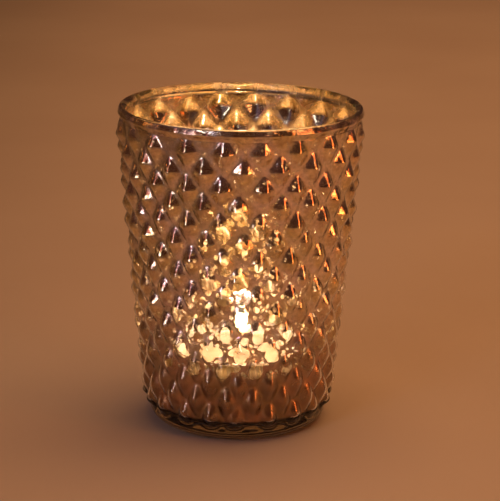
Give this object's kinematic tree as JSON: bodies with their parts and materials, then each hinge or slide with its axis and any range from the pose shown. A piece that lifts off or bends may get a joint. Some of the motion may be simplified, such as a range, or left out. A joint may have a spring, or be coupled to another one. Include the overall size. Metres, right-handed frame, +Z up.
{
  "type": "tealight holder",
  "caption": "Tapered hobnail glass tumbler, silvered inside, with a smooth rounded rim, that stands on its base and holds a loose lift-out tealight in a metal cup.",
  "frame": {"origin": "middle of the foot ring, on the plane the holder stands on", "axes": "+Z up along the tumbler's axis, out of its mouth; -Y towards the picture's camera; +X to the camera's right, the way the burnt end of the wick leans"},
  "size_m": [0.0666, 0.0666, 0.087],
  "materials": {
    "glass": "clear, faintly greenish moulded glass with a fire-polished rim, seen over the silvering on its inner face",
    "silvering": "patchy champagne-coloured mirror film on the inner wall, worn through in small spots so that light shows",
    "cup_aluminium": "thin drawn aluminium, bright with fine vertical draw lines",
    "wax": "ivory paraffin wax, translucent, with a glossy melt pool on top",
    "wick": "braided cotton, waxed below and charred black at its end",
    "sustainer_steel": "thin tinned steel sheet"
  },
  "bodies": {
    "holder": {"glass_tumbler": "glass"},
    "tealight": {"tealight_cup": "cup_aluminium", "wax_puck": "wax", "wick": "wick", "wick_sustainer": "sustainer_steel"}
  },
  "joints": [
    {"name": "tealight_lift", "type": "slide", "parent": "holder", "child": "tealight", "axis": [0, 0, 1], "range_m": [0, 0.1]}
  ]
}
